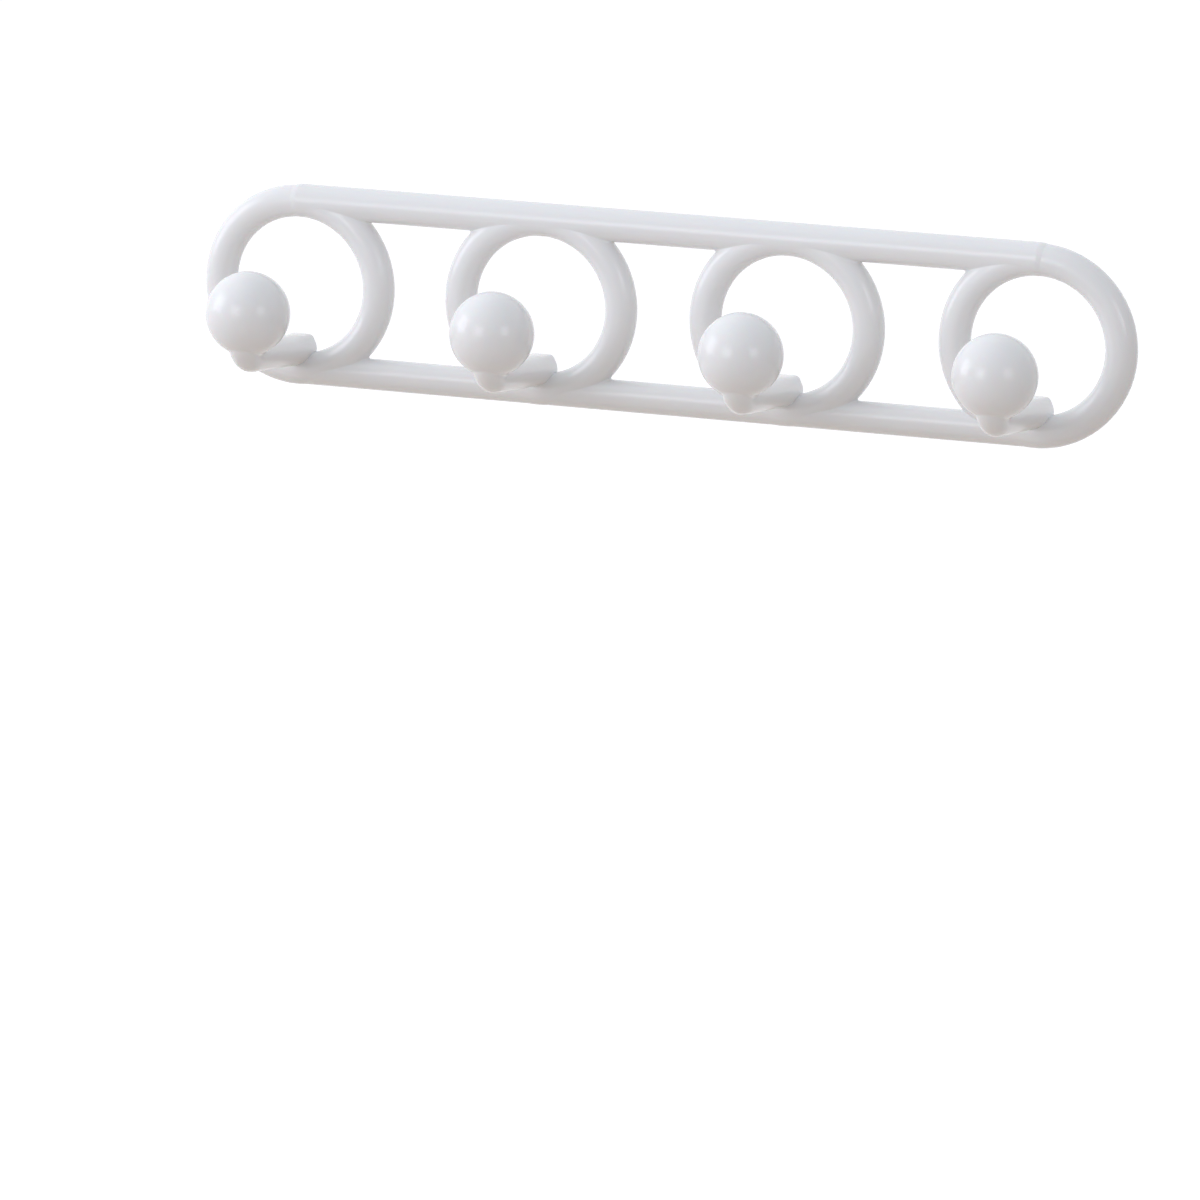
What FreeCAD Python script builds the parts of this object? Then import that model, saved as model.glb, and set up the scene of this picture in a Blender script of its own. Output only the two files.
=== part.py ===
"""Wall hook rack: four rings in a row between two straight rails, with a ball hook on every ring.

The body is a pair of white plastic mouldings that close on each other like a clam. Their outside
is round tube; inside they hold screw bosses, and the foot of every hook. All sizes are millimetres.

Frame: X runs along the rack, Z is up and the wall is the plane y = 0, with the rack in front of it
at negative y. The origin is on the back face, midway between the two keyholes.
"""

import FreeCAD
import Part
import math
import os
from FreeCAD import Vector

# ---- the outline ---------------------------------------------------------------------------
HOOKS = 4
PITCH = 132.0  # from one ring's centre to the next
RING_R = 43.4  # a ring's centre line
TUBE_R = 8.15  # the round section of a ring
TOP_RAIL_R = 8.5  # a little fuller than a ring, so the rings' crowns sink into it
TOP_RAIL_Z = 43.65
LOW_RAIL_R = 7.9  # a little slimmer than a ring, so it sinks into the rings' lower crowns
LOW_RAIL_Z = -43.4
CORNER_R = 0.8  # the soft corner where a ring leaves a rail
AXIS_Y = -6.8  # every tube's centre line; the flat back cuts the tubes off behind it

# ---- the two mouldings ---------------------------------------------------------------------
WALL = 2.2
FLOOR = 2.0  # the back plate
PARTING_Y = -3.8  # where front and back meet, out of sight behind the tubes' widest line
REVEAL = 0.2  # the back moulding is this much smaller all round, which leaves a clean line
TONGUE_T = 1.0  # a rim on the back that locates inside the front
TONGUE_H = 1.1
TONGUE_GAP = 0.2

# ---- hanging on the wall -------------------------------------------------------------------
KEYHOLE_ENTRY_R = 3.8
KEYHOLE_SLOT_R = 2.2
KEYHOLE_RISE = 7.5

# ---- self-tapping screws, all alike --------------------------------------------------------
SCREW_R = 1.45
SCREW_LENGTH = 9.0
HEAD_R = 2.8
HEAD_H = 1.7
HEAD_CHAMFER = 0.5
RECESS_R = 3.1
RECESS_DEPTH = 2.4
CLEARANCE_R = 1.65
BOSS_R = 3.1
TOWER_R = 4.1
PILOT_SPARE = 0.4  # a pilot hole is this much deeper than its screw

# ---- the hooks -----------------------------------------------------------------------------
BALL_R = 21.35
BALL_OUT = 68.7  # from the rings' centre plane forward to the ball's centre
BALL_Z = -4.0
NECK_BLEND = 2.5
ARM_R = 7.6  # at the bend
ARM_ROOT_R = 8.0  # where the arm leaves the root
ARM_Z = -33.6  # at the root's back end
ARM_RISE = 5.5  # degrees
ARM_REACH = 66.3  # along the arm, from the root's back end to the bend
ROOT_LENGTH = 20.0  # along the arm
ROOT_TOP = -25.7  # the root's back end has a flat top, round shoulders and a round belly
SHOULDER_X = 4.1
SHOULDER_R = 3.0
BELLY_Z = -33.2
BELLY_R = 8.6
ROOT_EDGE = 0.8
BEND_R = 14.0
BEND_TURN = 82.0  # degrees
FOOT_W = 9.0  # the foot that drops through a notch into the ring
FOOT_FRONT = -12.0
FOOT_BOTTOM = -46.5
FOOT_GAP = 0.15

BIG = 1000.0
RING_X = [(i - (HOOKS - 1) / 2) * PITCH for i in range(HOOKS)]
RAIL_HALF = RING_X[-1]
RAILS = ((TOP_RAIL_R, TOP_RAIL_Z), (LOW_RAIL_R, LOW_RAIL_Z))
ALONG = Vector(1, 0, 0)
FORWARD = Vector(0, -1, 0)
BACKWARD = Vector(0, 1, 0)
UP = Vector(0, 0, 1)


def fused(shapes):
    """One solid out of many that overlap."""
    return shapes[0].fuse(shapes[1:]) if len(shapes) > 1 else shapes[0]


def edges_between(shape, *kinds):
    """The edges where two faces on different kinds of surface meet, both kinds among those given."""
    found = []
    for edge in shape.Edges:
        meeting = {type(face.Surface) for face in shape.ancestorsOfType(edge, Part.Face)}
        if len(meeting) == 2 and meeting <= set(kinds):
            found.append(edge)
    return found


def in_front_of(y):
    """A block that fills everything in front of the plane at y."""
    return Part.makeBox(BIG, BIG, BIG, Vector(-BIG / 2, y - BIG, -BIG / 2))


def behind(y):
    """A block that fills everything behind the plane at y."""
    return Part.makeBox(BIG, BIG, BIG, Vector(-BIG / 2, y, -BIG / 2))


def rod(x, z, radius, y_back, y_front):
    """A round bar square to the wall."""
    return Part.makeCylinder(radius, y_back - y_front, Vector(x, y_back, z), FORWARD)


# ---- the body's outside --------------------------------------------------------------------
def round_body(inset=0.0):
    """Rings and rails as one outside form, cut flat where it meets the wall.

    Each rail ends in a ball over the last ring's crown, so that no end face shows.
    """
    tubes = [Part.makeTorus(RING_R, TUBE_R - inset, Vector(x, AXIS_Y, 0), BACKWARD) for x in RING_X]
    for rail_r, z in RAILS:
        radius = rail_r - inset
        for side in (-1, 1):
            end = Vector(side * RAIL_HALF, AXIS_Y, z)
            tubes.append(Part.makeSphere(radius, end, ALONG * side, 0, 90, 360))
        tubes.append(Part.makeCylinder(radius, 2 * RAIL_HALF, Vector(-RAIL_HALF, AXIS_Y, z), ALONG))
    whole = fused(tubes)
    corners = edges_between(whole, Part.Toroid, Part.Cylinder)
    return whole.makeFillet(CORNER_R, corners).common(in_front_of(0))


# ---- the hollow inside ---------------------------------------------------------------------
def channel_section(inner_r):
    """Half-widths and depths of the hollow: eight flats round a circle, stopped at the back plate."""
    flat = inner_r * math.tan(math.pi / 8)
    floor = -AXIS_Y - FLOOR
    back = inner_r + flat - floor
    half = [(flat, -inner_r), (inner_r, -flat), (inner_r, flat), (back, floor)]
    return half + [(-u, w) for u, w in reversed(half)]


def band_section(half_width):
    """A plain box section, from the back plate to the top of the tongue."""
    top = PARTING_Y - TONGUE_H - AXIS_Y
    floor = -AXIS_Y - FLOOR / 2
    return [(half_width, floor), (half_width, top), (-half_width, top), (-half_width, floor)]


def follow_body(section_of):
    """Carry a section round every ring and along both rails. section_of takes a tube's radius."""
    swept = []
    for x in RING_X:
        face = polygon([Vector(x + RING_R + u, AXIS_Y + w, 0) for u, w in section_of(TUBE_R)])
        swept.append(face.revolve(Vector(x, 0, 0), BACKWARD, 360))
    for radius, z in RAILS:
        face = polygon([Vector(-RAIL_HALF, AXIS_Y + w, z + u) for u, w in section_of(radius)])
        swept.append(face.extrude(ALONG * (2 * RAIL_HALF)))
    return fused(swept)


def polygon(points):
    return Part.Face(Part.makePolygon(points + points[:1]))


def hollow():
    return follow_body(lambda radius: channel_section(radius - WALL))


def tongue():
    """The locating rim: a thin band just inside the wall of the front moulding."""
    at_parting = PARTING_Y - AXIS_Y

    def outer(radius):
        inner_r = radius - WALL
        room = inner_r + inner_r * math.tan(math.pi / 8) - at_parting
        return min(room, inner_r) - TONGUE_GAP

    whole = follow_body(lambda radius: band_section(outer(radius)))
    core = follow_body(lambda radius: band_section(outer(radius) - TONGUE_T))
    return whole.cut(core)


# ---- screws and where they go --------------------------------------------------------------
def shell_screw_places():
    """Over every ring on the top rail, and in the middle of every window on both rails."""
    middles = [(a + b) / 2 for a, b in zip(RING_X, RING_X[1:])]
    places = [(x, TOP_RAIL_Z) for x in sorted(RING_X + middles)]
    return places + [(x, LOW_RAIL_Z) for x in middles]


def hook_screw_places():
    return [(x, -RING_R) for x in RING_X]


def screw(x, z):
    """A pan-head screw driven from the wall side, with a cross recess in its head."""
    under_head = -RECESS_DEPTH
    tip = under_head - SCREW_LENGTH
    outline = [
        (0, under_head + HEAD_H),
        (HEAD_R - HEAD_CHAMFER, under_head + HEAD_H),
        (HEAD_R, under_head + HEAD_H - HEAD_CHAMFER),
        (HEAD_R, under_head),
        (SCREW_R, under_head),
        (SCREW_R, tip + SCREW_R),
        (SCREW_R / 3, tip),
        (0, tip),
    ]
    profile = polygon([Vector(x + r, y, z) for r, y in outline])
    body = profile.revolve(Vector(x, 0, z), BACKWARD, 360)
    for long_x, long_z in ((3.2, 0.7), (0.7, 3.2)):
        corner = Vector(x - long_x / 2, under_head + HEAD_H - 0.9, z - long_z / 2)
        body = body.cut(Part.makeBox(long_x, 2.0, long_z, corner))
    return body


# ---- the two mouldings ---------------------------------------------------------------------
def front_shell(body, cavity):
    """The moulding that shows: round outside, with a boss for every shell screw."""
    shell = body.common(in_front_of(PARTING_Y)).cut(cavity)
    tip = -RECESS_DEPTH - SCREW_LENGTH - PILOT_SPARE
    bosses = [rod(x, z, BOSS_R, PARTING_Y, AXIS_Y - TUBE_R + WALL / 2) for x, z in shell_screw_places()]
    shell = fused([shell] + bosses)
    cuts = [rod(x, z, SCREW_R, PARTING_Y, tip) for x, z in shell_screw_places()]
    cuts += [foot(x, FOOT_GAP) for x in RING_X]
    return shell.cut(fused(cuts))


def back_shell(cavity):
    """The tray behind: towers with countersunk screw seats, a locating rim and two keyholes."""
    shell = round_body(REVEAL).common(behind(PARTING_Y)).cut(cavity)
    places = shell_screw_places() + hook_screw_places()
    towers = [rod(x, z, TOWER_R, -FLOOR / 2, PARTING_Y) for x, z in places]
    room = [rod(x, z, BOSS_R + TONGUE_GAP, PARTING_Y, AXIS_Y) for x, z in shell_screw_places()]
    room += [foot(x, TONGUE_GAP) for x in RING_X]
    rim = tongue().cut(fused(room))
    shell = fused([shell, rim] + towers)
    cuts = []
    for x, z in places:
        cuts.append(rod(x, z, RECESS_R, 1, -RECESS_DEPTH))
        cuts.append(rod(x, z, CLEARANCE_R, 0, AXIS_Y))
    for side in (-1, 1):
        cuts += keyhole(side)
    return shell.cut(fused(cuts))


def keyhole(side):
    """A round entry for the screw head and a slot above it that drops over the screw's neck."""
    x = side * (RAIL_HALF + RING_R)
    deep = -FLOOR - 1
    entry = rod(x, 0, KEYHOLE_ENTRY_R, 1, deep)
    slot = Part.makeBox(
        2 * KEYHOLE_SLOT_R, 1 - deep, KEYHOLE_RISE, Vector(x - KEYHOLE_SLOT_R, deep, 0)
    )
    end = rod(x, KEYHOLE_RISE, KEYHOLE_SLOT_R, 1, deep)
    return [entry, slot, end]


# ---- a hook --------------------------------------------------------------------------------
def foot(x, gap=0.0):
    """The block under a hook's root; with a gap it is the notch that the block drops through."""
    top = ARM_Z if gap == 0 else -RING_R + TUBE_R + 1
    low = Vector(x - FOOT_W / 2 - gap, FOOT_FRONT - gap, FOOT_BOTTOM - gap)
    return Part.makeBox(FOOT_W + 2 * gap, PARTING_Y - FOOT_FRONT + gap, top - FOOT_BOTTOM + gap, low)


def meets_ball(shape, edge):
    """Whether an edge is where the ball meets another surface."""
    meeting = {type(face.Surface) for face in shape.ancestorsOfType(edge, Part.Face)}
    return len(meeting) == 2 and Part.Sphere in meeting


def arc(centre, radius, start, end, up):
    """An arc between two angles, counted from X towards up."""
    angles = (start, (start + end) / 2, end)
    points = [centre + (ALONG * math.cos(a) + up * math.sin(a)) * radius for a in angles]
    return Part.Arc(*points).toShape()


def first_point(edge):
    return edge.valueAt(edge.FirstParameter)


def last_point(edge):
    return edge.valueAt(edge.LastParameter)


def root_back(x):
    """The section of the root's back end, clockwise: two shoulders and a belly with lines between."""
    shoulder_z = ROOT_TOP - SHOULDER_R
    rise = shoulder_z - BELLY_Z
    lean = math.atan2(rise, SHOULDER_X) - math.acos((BELLY_R - SHOULDER_R) / math.hypot(SHOULDER_X, rise))
    left = arc(Vector(x - SHOULDER_X, PARTING_Y, shoulder_z), SHOULDER_R, math.pi - lean, math.pi / 2, UP)
    right = arc(Vector(x + SHOULDER_X, PARTING_Y, shoulder_z), SHOULDER_R, math.pi / 2, lean, UP)
    belly = arc(Vector(x, PARTING_Y, BELLY_Z), BELLY_R, lean, -math.pi - lean, UP)
    edges = []
    for here, after in ((left, right), (right, belly), (belly, left)):
        edges += [here, Part.makeLine(last_point(here), first_point(after))]
    return edges


def root(x, along, across):
    """A loft from the flat-topped back end to the arm's round section."""
    back = root_back(x)
    angles = []
    for edge in back:
        corner = first_point(edge)
        angle = math.atan2(corner.z - ARM_Z, corner.x - x)
        angles.append(angle if not angles or angle < angles[-1] else angle - 2 * math.pi)
    angles.append(angles[0] - 2 * math.pi)
    centre = Vector(x, PARTING_Y, ARM_Z) + along * ROOT_LENGTH
    front = [arc(centre, ARM_ROOT_R, a, b, across) for a, b in zip(angles, angles[1:])]
    block = Part.makeLoft([Part.Wire(back), Part.Wire(front)], True, True)
    rim = [edge for edge in block.Edges if abs(edge.BoundBox.YMin - PARTING_Y) < 1e-6]
    return block.makeFillet(ROOT_EDGE, rim)


def hook(x, body):
    """Root, arm, bend and ball, with the foot that holds it in the ring."""
    rise = math.radians(ARM_RISE)
    along = Vector(0, -math.cos(rise), math.sin(rise))
    across = Vector(0, math.sin(rise), math.cos(rise))
    start = Vector(x, PARTING_Y, ARM_Z)
    arm = Part.makeCone(
        ARM_ROOT_R, ARM_R, ARM_REACH - ROOT_LENGTH, start + along * ROOT_LENGTH, along
    )
    turn_at = start + along * ARM_REACH
    section = Part.Face(Part.Wire(Part.makeCircle(ARM_R, turn_at, along)))
    bend = section.revolve(turn_at + across * BEND_R, Vector(-1, 0, 0), BEND_TURN)
    ball = Part.makeSphere(BALL_R, Vector(x, AXIS_Y - BALL_OUT, BALL_Z))
    whole = fused([root(x, along, across), arm, bend, ball])
    neck = [edge for edge in whole.Edges if meets_ball(whole, edge)]
    whole = whole.makeFillet(NECK_BLEND, neck).cut(body).fuse(foot(x))
    pilot = rod(x, -RING_R, SCREW_R, PARTING_Y, -RECESS_DEPTH - SCREW_LENGTH - PILOT_SPARE)
    return whole.cut(pilot)


# ---- everything ----------------------------------------------------------------------------
def build():
    body = round_body()
    cavity = hollow()
    parts = {"front_shell": front_shell(body, cavity), "back_shell": back_shell(cavity)}
    for number, x in enumerate(RING_X, 1):
        parts["hook_%d" % number] = hook(x, body)
    for number, place in enumerate(hook_screw_places(), 1):
        parts["hook_screw_%d" % number] = screw(*place)
    for number, place in enumerate(shell_screw_places(), 1):
        parts["shell_screw_%d" % number] = screw(*place)
    return parts


os.makedirs("parts", exist_ok=True)
for name, shape in build().items():
    if not shape.isValid() or len(shape.Solids) != 1:
        raise ValueError("%s: valid %s, %d solids" % (name, shape.isValid(), len(shape.Solids)))
    shape.Solids[0].exportStep("parts/%s.step" % name)
    print("%-16s %9.0f mm3  %3d faces" % (name, shape.Volume, len(shape.Faces)))
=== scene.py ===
# %% [markdown]
# # A wall hook rack in gloss white plastic
#
# Four rings stand in a row between two round rails, and a ball-ended hook grows out of the
# front of each ring. The real rack is two mouldings screwed together from behind, with the
# hooks dropped into notches and screwed down before the rack is closed.
#
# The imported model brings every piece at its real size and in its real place. This lesson adds
# what the eye still needs: the finish of each plastic, the thread on each screw, and a plain
# bright room to see them in.
#
# Blender counts in metres. The value `mm` turns the maker's millimetres into them.

import math

import bpy
import numpy as np
from mathutils import Matrix, Vector


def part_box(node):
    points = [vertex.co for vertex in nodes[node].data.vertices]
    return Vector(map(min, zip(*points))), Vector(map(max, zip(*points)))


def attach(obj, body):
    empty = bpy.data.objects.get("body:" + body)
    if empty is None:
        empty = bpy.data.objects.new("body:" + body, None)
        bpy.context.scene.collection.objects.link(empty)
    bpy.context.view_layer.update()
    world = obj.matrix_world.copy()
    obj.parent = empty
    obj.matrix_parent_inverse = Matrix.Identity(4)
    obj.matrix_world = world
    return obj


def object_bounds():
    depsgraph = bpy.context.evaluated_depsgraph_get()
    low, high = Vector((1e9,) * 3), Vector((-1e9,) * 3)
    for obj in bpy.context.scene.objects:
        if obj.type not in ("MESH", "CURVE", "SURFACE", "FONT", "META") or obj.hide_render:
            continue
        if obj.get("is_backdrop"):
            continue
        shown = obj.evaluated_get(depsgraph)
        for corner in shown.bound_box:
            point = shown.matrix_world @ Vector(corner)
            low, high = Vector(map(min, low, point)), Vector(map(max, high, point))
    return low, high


mm = 0.001

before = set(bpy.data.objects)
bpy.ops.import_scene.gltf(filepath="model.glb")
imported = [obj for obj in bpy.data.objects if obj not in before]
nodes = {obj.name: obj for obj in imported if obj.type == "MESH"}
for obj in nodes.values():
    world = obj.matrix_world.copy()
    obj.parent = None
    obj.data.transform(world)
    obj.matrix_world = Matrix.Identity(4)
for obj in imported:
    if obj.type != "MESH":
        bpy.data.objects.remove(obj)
cad_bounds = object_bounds()
size = [round((high - low) / mm, 1) for low, high in zip(*cad_bounds)]
print(f"{len(nodes)} pieces, {size[0]} x {size[1]} x {size[2]} mm")


# %% [markdown]
# ## Colours and nodes
#
# A maker names a colour by its hex value, which is how a screen shows it. A shader adds up
# light, so it wants linear values, and one function turns the first into the second.
#
# Nodes can be wired by hand in the shader editor, or with two lines of code for each wire. A
# function that adds one node, sets its properties and links its inputs is shorter than both, and
# with it a material reads from top to bottom, like a recipe.

# %% Two helpers that every material uses
def linear(hex_colour):
    """Hex colour to linear light: each channel is ((c + 0.055) / 1.055) to the power 2.4."""
    channels = [int(hex_colour[i : i + 2], 16) / 255 for i in (1, 3, 5)]
    return [c / 12.92 if c <= 0.04045 else ((c + 0.055) / 1.055) ** 2.4 for c in channels] + [1.0]


def add(tree, kind, links, **properties):
    """Add a node. links maps an input to a value or to the socket that feeds it."""
    node = tree.nodes.new(kind)
    for name, value in properties.items():
        setattr(node, name, value)
    for name, value in links.items():
        if isinstance(value, bpy.types.NodeSocket):
            tree.links.new(value, node.inputs[name])
        else:
            node.inputs[name].default_value = value
    return node


def new_material(name):
    """A material with an empty node tree."""
    material = bpy.data.materials.new(name)
    material.use_nodes = True
    material.node_tree.nodes.clear()
    return material, material.node_tree


print("linear white plastic:", [round(c, 3) for c in linear("#F1F2F4")])


# %% [markdown]
# ## Noise that uses its whole range
#
# Most of a noise texture lies between 0.3 and 0.7, with few darker or lighter places. Stretched
# from there to a range of roughness, it reaches both ends of that range. A Color Ramp could do
# the same, but it has to be tuned by eye, where this takes the two ends as they are.

# %% From noise to a range of roughness
NOISE_LOW = 0.3
NOISE_HIGH = 0.7


def spread(tree, noise, low, high):
    """low up to NOISE_LOW, high from NOISE_HIGH on, and in a straight line between them."""
    ends = {"From Min": NOISE_LOW, "From Max": NOISE_HIGH, "To Min": low, "To Max": high}
    return add(tree, "ShaderNodeMapRange", {"Value": noise, **ends}).outputs["Result"]


print("noise is spread from", NOISE_LOW, "to", NOISE_HIGH)


# %% [markdown]
# ## White ABS
#
# The rack is injection-moulded ABS. Its skin copies the steel of the mould, so the same plastic
# is glossy where the steel was polished and satin where it was spark-eroded. One recipe makes
# both, from four things that the eye reads in a white moulding:
#
# * the white drifts a little warmer where the plastic flowed last, over about 90 mm
# * the gloss is not even, because the steel is polished by hand, over about 25 mm
# * cooling leaves very shallow waves, which bend the edge of a reflection
# * the grain of the steel itself, which softens it
#
# One flat colour and one roughness would do from across the room. Close by, these small
# differences are what tells a moulding from a coat of paint.
#
# Light also goes a little way into white plastic, so a small share of it is scattered under
# the skin, about 2 mm deep. The refractive index of ABS is 1.53.

# %% A recipe for moulded ABS
FLOW = 90 * mm
POLISH = 25 * mm
ABS_IOR = 1.53
SCATTERED = 0.12
SCATTER_DEPTH = 2 * mm


def moulded_abs(name, white, warm_white, gloss, waves, grain):
    """gloss is a range of roughness; waves and grain are each a (size, depth) in metres."""
    material, tree = new_material(name)
    place = add(tree, "ShaderNodeTexCoord", {}).outputs["Object"]

    flow = add(tree, "ShaderNodeTexNoise", {"Vector": place, "Scale": 1 / FLOW, "Detail": 2.0})
    # The Mix node keeps its two colours in inputs 6 and 7, and the mixed colour in output 2.
    colours = {"Factor": flow.outputs["Fac"], 6: linear(white), 7: linear(warm_white)}
    tint = add(tree, "ShaderNodeMix", colours, data_type="RGBA")

    polish = add(tree, "ShaderNodeTexNoise", {"Vector": place, "Scale": 1 / POLISH, "Detail": 3.0})
    rough = spread(tree, polish.outputs["Fac"], *gloss)

    normal = {}
    for wide, deep in (waves, grain):
        height = add(tree, "ShaderNodeTexNoise", {"Vector": place, "Scale": 1 / wide, "Detail": 2.0})
        bump = {"Height": height.outputs["Fac"], "Distance": deep, **normal}
        normal = {"Normal": add(tree, "ShaderNodeBump", bump).outputs["Normal"]}

    skin = {
        "Base Color": tint.outputs[2],
        "Roughness": rough,
        "IOR": ABS_IOR,
        "Subsurface Weight": SCATTERED,
        "Subsurface Scale": SCATTER_DEPTH,
    }
    shader = add(tree, "ShaderNodeBsdfPrincipled", {**skin, **normal})
    add(tree, "ShaderNodeOutputMaterial", {"Surface": shader.outputs["BSDF"]})
    print(name, "made with", len(tree.nodes), "nodes")
    return material


print(f"the white drifts over {FLOW / mm:.0f} mm and the gloss over {POLISH / mm:.0f} mm")


# %% [markdown]
# ## Two finishes of one plastic
#
# The front moulding and the hooks come from polished steel: their gloss shows a lamp as a soft
# patch. The back moulding faces the wall. Its mould is left as the spark made it, which is
# cheaper and hides scuffs, so it looks satin, with a fine even grain that breaks up reflections.
# The real grain is about 0.2 mm wide. It is drawn at 0.8 mm, so that it can be seen at all.
#
# Each range of roughness stays on one side of 0.27. The renderer's denoiser takes a smoother
# surface for a mirror, so a range that crossed that value would come out in patches.

# %% Polished and spark-eroded ABS
gloss_abs = moulded_abs(
    "gloss_white_abs_moulded",
    white="#F1F2F4",
    warm_white="#EFEFEF",
    gloss=(0.16, 0.23),
    waves=(14 * mm, 0.02 * mm),
    grain=(1.2 * mm, 0.002 * mm),
)
satin_abs = moulded_abs(
    "satin_white_abs_moulded",
    white="#ECEDEF",
    warm_white="#E9E9E8",
    gloss=(0.42, 0.52),
    waves=(14 * mm, 0.02 * mm),
    grain=(0.8 * mm, 0.010 * mm),
)


# %% [markdown]
# ## Zinc-plated steel
#
# The screws are cold-formed steel with a bright zinc plating, blue passivated. Tumbling in
# the barrel leaves the plate slightly uneven, so the gloss changes over about 1.5 mm, and the
# thin clear passivation drifts between a cool and a faintly yellow white. An image of real
# plating would show the same, but noise has no seam where it wraps round the head.

# %% The screws' finish
TUMBLED = 1.5 * mm
DENT_DEPTH = 0.01 * mm
PASSIVATED = 4 * mm
ZINC_GLOSS = (0.28, 0.42)


def zinc_plated_steel():
    """A metal whose colour and roughness drift a little from place to place."""
    material, tree = new_material("zinc_plated_steel_passivated")
    place = add(tree, "ShaderNodeTexCoord", {}).outputs["Object"]
    film = add(tree, "ShaderNodeTexNoise", {"Vector": place, "Scale": 1 / PASSIVATED, "Detail": 2.0})
    colours = {"Factor": film.outputs["Fac"], 6: linear("#C3CAD3"), 7: linear("#D2CFC3")}
    tint = add(tree, "ShaderNodeMix", colours, data_type="RGBA")
    dents = add(tree, "ShaderNodeTexNoise", {"Vector": place, "Scale": 1 / TUMBLED, "Detail": 4.0})
    bump = add(tree, "ShaderNodeBump", {"Height": dents.outputs["Fac"], "Distance": DENT_DEPTH})
    plate = {
        "Base Color": tint.outputs[2],
        "Metallic": 1.0,
        "Roughness": spread(tree, dents.outputs["Fac"], *ZINC_GLOSS),
        "Normal": bump.outputs["Normal"],
    }
    shader = add(tree, "ShaderNodeBsdfPrincipled", plate)
    add(tree, "ShaderNodeOutputMaterial", {"Surface": shader.outputs["BSDF"]})
    print(material.name, "made with", len(tree.nodes), "nodes")
    return material


zinc = zinc_plated_steel()


# %% [markdown]
# ## Each piece gets its finish
#
# The model's pieces keep their shape. Only what fills their material slots changes: zinc for
# every screw, satin plastic for the back moulding and gloss plastic for all the rest. Twenty
# pieces could be filled by hand, but their names already say what they are, so a loop does it.

# %% Fill the material slots
def finish_of(name):
    """The finish that a piece has, from what its name says it is."""
    if "screw" in name:
        return zinc
    return satin_abs if name == "back_shell" else gloss_abs


for name, node in nodes.items():
    for slot in node.material_slots:
        slot.material = finish_of(name)
    print(name, "is", finish_of(name).name)


# %% [markdown]
# ## Threads
#
# A screw for plastic cuts its own way: the boss is moulded with a hole as wide as the screw's
# core, and the thin ridge of the thread bites 0.3 mm into its wall. The model's screws are the
# bare core, so each gets its ridge here. The neck under the head stays bare, where it turns
# freely in the back moulding.
#
# A thread is a profile carried along a helix. Subdividing a cylinder and pulling a spiral of
# faces out would also do, but a formula gives every turn the same sharp crest for few faces.
# It is a grid: one way runs along the helix, the other round the four corners of the ridge. Its
# two foot corners lie inside the core, so that no gap shows between ridge and core.

# %% One ridge, as a grid of points
PITCH = 1.3 * mm
RIDGE = 0.3 * mm
CORE_R = 1.45 * mm
HEAD_H = 1.7 * mm
BARE_NECK = 1.6 * mm
STEPS_PER_TURN = 20
FOOT_HALF = 0.32 * PITCH
CREST_HALF = 0.06 * PITCH
ROOTED = 0.3 * RIDGE
RUN_OUT = 0.5
LEAST = 0.2
CORNERS_ALONG = np.array([-FOOT_HALF, -CREST_HALF, CREST_HALF, FOOT_HALF])
CORNERS_OUT = np.array([-ROOTED, RIDGE, RIDGE, -ROOTED])


def ridge_grid(x, z, under_head, length):
    """Points of a right-handed ridge that starts under the head and runs towards -Y.

    At turn t the profile stands at angle 2 pi t and is pitch * t down the shank. A corner's
    radius is the core's plus its share of the ridge. The profile grows from LEAST of its size
    to all of it over RUN_OUT turns at each end.
    """
    turns = length / PITCH
    t = np.linspace(0, turns, round(turns * STEPS_PER_TURN) + 1)[:, None]
    fade = np.clip(np.minimum(t, turns - t) / RUN_OUT, LEAST, 1.0)
    radius = CORE_R + CORNERS_OUT * fade
    angle = 2 * np.pi * t
    down = under_head - PITCH * t + CORNERS_ALONG * fade
    return np.stack([x + radius * np.cos(angle), down, z + radius * np.sin(angle)], axis=2)


def closed_ribbon(name, grid):
    """A mesh from a grid that is closed round its second axis, with a face over each end."""
    rows, corners = grid.shape[:2]
    index = np.arange(rows * corners).reshape(rows, corners)
    here, ahead = index[:-1], index[1:]
    quads = np.stack([here, np.roll(here, -1, 1), np.roll(ahead, -1, 1), ahead], axis=2)
    ends = [index[0][::-1].tolist(), index[-1].tolist()]
    mesh = bpy.data.meshes.new(name)
    mesh.from_pydata(grid.reshape(-1, 3).tolist(), [], quads.reshape(-1, 4).tolist() + ends)
    return bpy.data.objects.new(name, mesh)


print(f"pitch {PITCH / mm:.1f} mm, {2 * (CORE_R + RIDGE) / mm:.1f} mm across the crests")


# %% [markdown]
# Every screw of the model gives the place of its own ridge: the middle of its box is its axis,
# and its two ends along Y are the tip and the face of the head. The ridge ends half a pitch
# above the cone of the tip, which is as tall as the core's radius.

# %% A ridge for each screw
threads = []
for name in sorted(node for node in nodes if "screw" in node):
    low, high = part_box(name)
    under_head = high[1] - HEAD_H - BARE_NECK
    length = under_head - low[1] - CORE_R - PITCH / 2
    grid = ridge_grid((low[0] + high[0]) / 2, (low[2] + high[2]) / 2, under_head, length)
    thread = closed_ribbon(f"{name}_thread", grid)
    thread.data.materials.append(zinc)
    bpy.context.scene.collection.objects.link(thread)
    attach(thread, "root")
    threads.append(thread)
print(len(threads), "threads of", len(threads[0].data.polygons), "faces each")


# %% [markdown]
# ## The view
#
# A product shot is taken from far away through a long lens, so that the four rings keep nearly
# the same size. From close by, a wide lens would take in the whole rack too, but the near ring
# would look much larger than the far one. The camera stands to the right of the middle and a
# little above, and is turned about one degree in the hand. It aims 150 mm below the rack, which
# leaves room in the picture for what hangs from the hooks.

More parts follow.
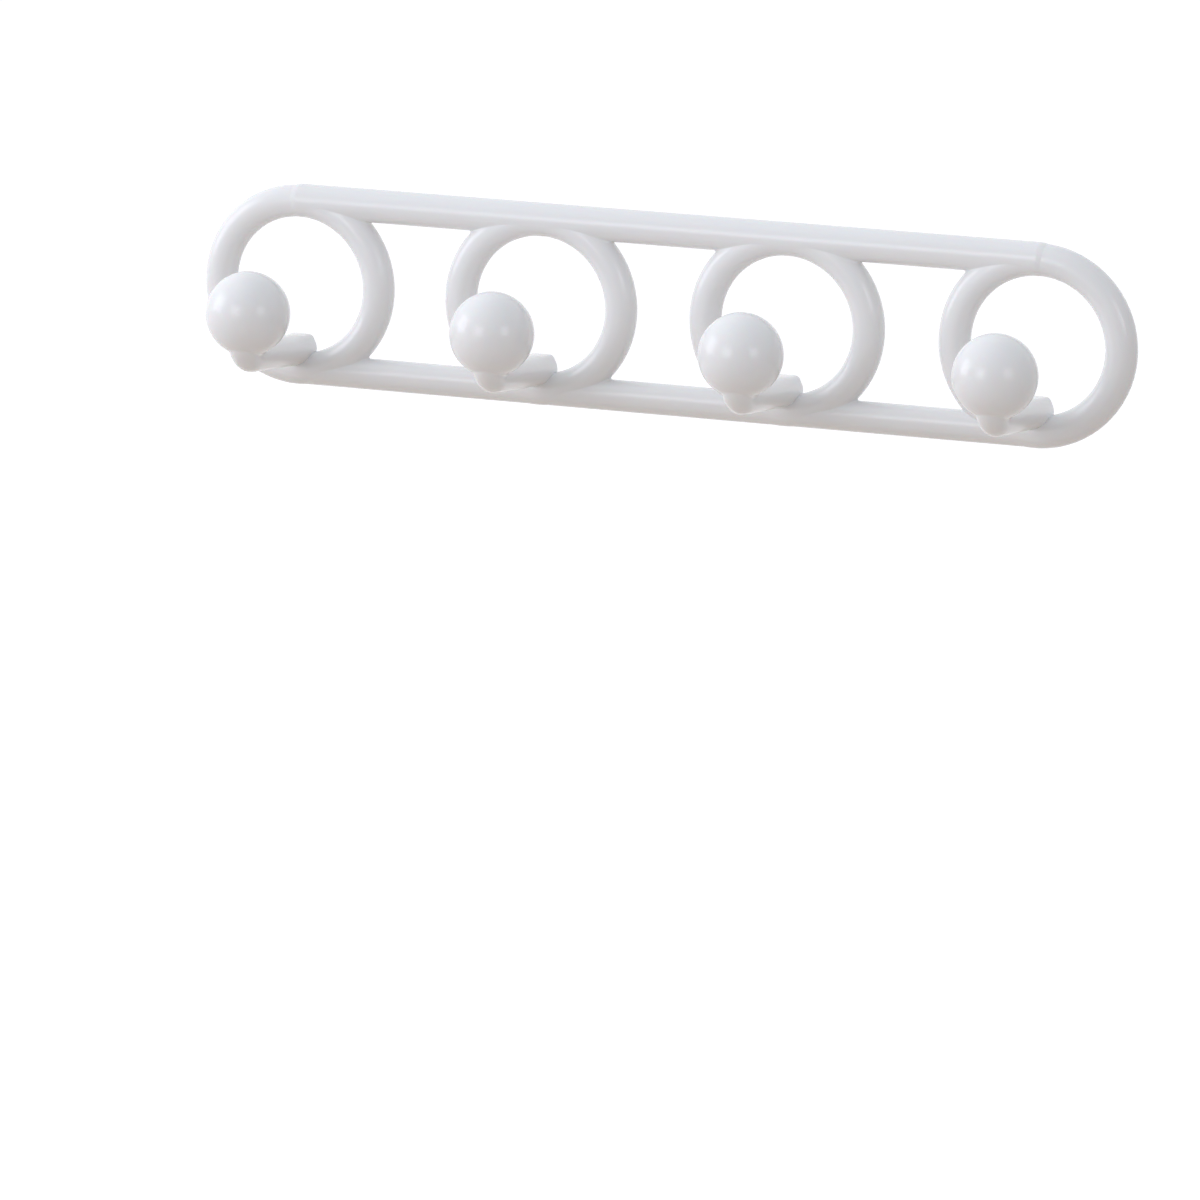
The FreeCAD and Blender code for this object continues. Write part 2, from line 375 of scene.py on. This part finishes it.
# %% Camera
# The lens and the sensor are in millimetres, the two distances in metres.
LENS = 256.8
SENSOR = 36.0
DISTANCE = 4.356
FAR_LIMIT = 100
AZIMUTH = math.radians(20.35)
ELEVATION = math.radians(12.05)
ROLL = math.radians(1.03)
AIM = Vector((-31.3, -6.8, -149.9)) * mm

back = Vector(
    (
        math.sin(AZIMUTH) * math.cos(ELEVATION),
        -math.cos(AZIMUTH) * math.cos(ELEVATION),
        math.sin(ELEVATION),
    )
)
level = Vector((math.cos(AZIMUTH), math.sin(AZIMUTH), 0))
upright = back.cross(level)
right = math.cos(ROLL) * level + math.sin(ROLL) * upright
up = math.cos(ROLL) * upright - math.sin(ROLL) * level

lens = bpy.data.cameras.new("view")
lens.lens = LENS
lens.sensor_width = SENSOR
lens.clip_end = FAR_LIMIT
camera = bpy.data.objects.new("view", lens)
turned = Matrix((right, up, back)).transposed().to_4x4()
camera.matrix_world = Matrix.Translation(AIM + back * DISTANCE) @ turned
bpy.context.scene.collection.objects.link(camera)
bpy.context.scene.camera = camera
print("camera stands at", [round(v, 2) for v in camera.matrix_world.translation])


# %% [markdown]
# ## A bright room
#
# White plastic shows its shape only by what it stands in, so the room does the modelling. A
# daylit room is bright on the side of its windows and dim on the other. A picture of a room
# could light the rack, but one dot product says as much: the ray's direction times the windows'
# direction is 1 towards them and -1 away from them, and it sets the strength.
#
# The backdrop is white. It is made white only for the rays that look at it, straight or in a
# reflection, so that no extra light falls on the rack.

# %% The room's own light
WINDOW_SIDE = Vector((-0.90, 0.44, 0)).normalized()
DAYLIGHT = "#F7FAFF"
BRIGHTEST = 1.29
DIMMEST = 0.33


def looked_at(tree):
    """1 for a ray from the camera, a reflection or a refraction, and 0 for one that gathers light."""
    ray = add(tree, "ShaderNodeLightPath", {}).outputs
    mirrored = {0: ray["Is Glossy Ray"], 1: ray["Is Transmission Ray"]}
    indirect = add(tree, "ShaderNodeMath", mirrored, operation="MAXIMUM").outputs[0]
    seen = {0: ray["Is Camera Ray"], 1: indirect}
    return add(tree, "ShaderNodeMath", seen, operation="MAXIMUM").outputs[0]


def bright_room():
    """World light whose strength runs evenly from DIMMEST to BRIGHTEST by the cosine to the windows."""
    world = bpy.data.worlds.new("bright_room")
    bpy.context.scene.world = world
    world.use_nodes = True
    tree = world.node_tree
    tree.nodes.clear()
    way = add(tree, "ShaderNodeTexCoord", {}).outputs["Generated"]
    cosine = add(tree, "ShaderNodeVectorMath", {0: way, 1: WINDOW_SIDE}, operation="DOT_PRODUCT")
    ends = {"From Min": -1.0, "From Max": 1.0, "To Min": DIMMEST, "To Max": BRIGHTEST}
    strength = add(tree, "ShaderNodeMapRange", {"Value": cosine.outputs["Value"], **ends}).outputs[0]
    day = {"Color": linear(DAYLIGHT), "Strength": strength}
    room = add(tree, "ShaderNodeBackground", day).outputs[0]
    white = add(tree, "ShaderNodeBackground", {"Color": linear("#FFFFFF"), "Strength": 1.0}).outputs[0]
    whole = add(tree, "ShaderNodeMixShader", {0: looked_at(tree), 1: room, 2: white})
    add(tree, "ShaderNodeOutputWorld", {"Surface": whole.outputs[0]})
    print(world.name, "made with", len(tree.nodes), "nodes")


bright_room()


# %% [markdown]
# ## The floor
#
# The rack hangs on a wall at the height of a hand, so the floor is well below it. It is a pale
# matt board, and the light that it sends back is what warms the undersides. Where it is looked
# at it glows with what its colour leaves short of white. The glow is added to the lit board and
# doesn't replace it, so the rack's shadow stays.

# %% A pale floor
FLOOR_DROP = 1.4
FLOOR_HALF = 12.0
FLOOR_GLOW = 0.76


def pale_floor():
    """A square board, diffuse, with a glow for the rays that look at it."""
    material, tree = new_material("pale_matt_board")
    board = add(tree, "ShaderNodeBsdfDiffuse", {"Color": linear("#C4B6A8")}).outputs[0]
    glow = {"Color": linear("#E9F3FF"), "Strength": FLOOR_GLOW}
    bright = add(tree, "ShaderNodeEmission", glow).outputs[0]
    lifted = add(tree, "ShaderNodeAddShader", {0: board, 1: bright}).outputs[0]
    mix = add(tree, "ShaderNodeMixShader", {0: looked_at(tree), 1: board, 2: lifted})
    add(tree, "ShaderNodeOutputMaterial", {"Surface": mix.outputs[0]})
    signs = [(-1, -1), (1, -1), (1, 1), (-1, 1)]
    corners = [(x * FLOOR_HALF, y * FLOOR_HALF, -FLOOR_DROP) for x, y in signs]
    mesh = bpy.data.meshes.new("floor")
    mesh.from_pydata(corners, [], [(0, 1, 2, 3)])
    mesh.materials.append(material)
    floor = bpy.data.objects.new("floor", mesh)
    bpy.context.scene.collection.objects.link(floor)
    floor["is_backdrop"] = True
    print("floor", 2 * FLOOR_HALF, "m square,", FLOOR_DROP, "m below the rack's middle")


pale_floor()


# %% [markdown]
# ## Three soft lamps
#
# Each lamp is a square softbox that faces the rack. Gloss plastic mirrors it as a soft patch,
# where a bare point of light would leave a hard dot. The window is the widest and stands far to
# the left, and it draws the streak inside each ring. A box on either side of the front draws one
# of the faint spots on each ball. All three stand at about the same height, so together they
# draw one thin line along each rail.
#
# An area lamp's power spreads over the half sphere before it. At distance d a card held square
# to it looks as white as power / (pi * pi * d * d), so the power comes from a wanted level.

# %% Softboxes
LAMP_DISTANCE = 2.4
LAMPS = (
    # name, azimuth and elevation in degrees, width in metres, colour, level as a share of white
    ("window", -74, 17, 1.3, "#F0F2FF", 0.23),
    ("front_left", -17, 14, 1.0, "#F3F5FF", 0.13),
    ("front_right", 56, 16, 0.9, "#F3F5FF", 0.09),
)


def softbox(name, azimuth, elevation, width, hex_colour, white_level):
    """A square lamp in the direction given in degrees: 0 is the front, 90 the right."""
    lamp = bpy.data.lights.new(name, "AREA")
    lamp.size = width
    lamp.color = linear(hex_colour)[:3]
    lamp.energy = white_level * (math.pi * LAMP_DISTANCE) ** 2
    turn, lift = math.radians(azimuth), math.radians(elevation)
    way = Vector((math.sin(turn) * math.cos(lift), -math.cos(turn) * math.cos(lift), math.sin(lift)))
    place = bpy.data.objects.new(name, lamp)
    place.location = way * LAMP_DISTANCE
    place.rotation_euler = way.to_track_quat("Z", "Y").to_euler()
    bpy.context.scene.collection.objects.link(place)
    print(f"{name}: {lamp.energy:.1f} W")


for lamp_settings in LAMPS:
    softbox(*lamp_settings)

bpy.context.scene.view_settings.view_transform = "Standard"


# %% [markdown]
# ## Check the size and close
#
# The box of everything made here is set against the model's box, and the largest difference between
# their corners is printed.

# %% Sizes and the end
visual_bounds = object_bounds()
grown = max(abs(a - b) for c, v in zip(cad_bounds, visual_bounds) for a, b in zip(c, v))
print("the finished box differs from the model's by", round(grown / mm, 3), "mm")
